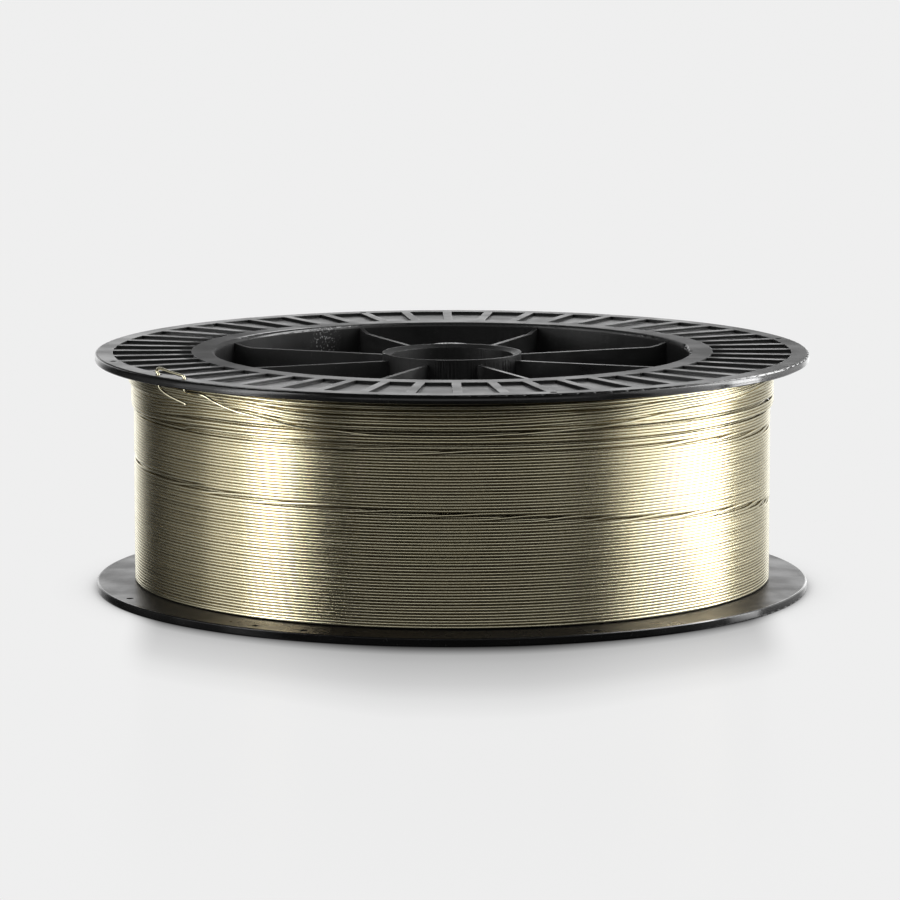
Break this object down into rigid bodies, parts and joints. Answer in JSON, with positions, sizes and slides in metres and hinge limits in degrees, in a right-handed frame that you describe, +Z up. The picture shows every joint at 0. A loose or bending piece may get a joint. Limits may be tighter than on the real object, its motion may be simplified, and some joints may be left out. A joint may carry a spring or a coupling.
{
  "type": "wound welding wire spool",
  "caption": "Flanged plastic spool with ribbed faces and a webbed hub, wound full of solid welding wire whose end is threaded through the flange.",
  "frame": {"origin": "centre of the bottom face, on the spool's axis", "axes": "+Z up along the spool's axis; +Y towards the hole for the driving pin; the picture's camera looks roughly along +Y"},
  "size_m": [0.3, 0.3, 0.1032],
  "materials": {
    "spool_plastic": "black moulded plastic with a dull sheen, drag marks in the well and light scuffs on the ribs",
    "wire_metal": "bright drawn wire with a pale champagne tint"
  },
  "bodies": {
    "root": {"spool": "spool_plastic", "wire_winding": "wire_metal", "wire_end": "wire_metal"}
  },
  "joints": []
}
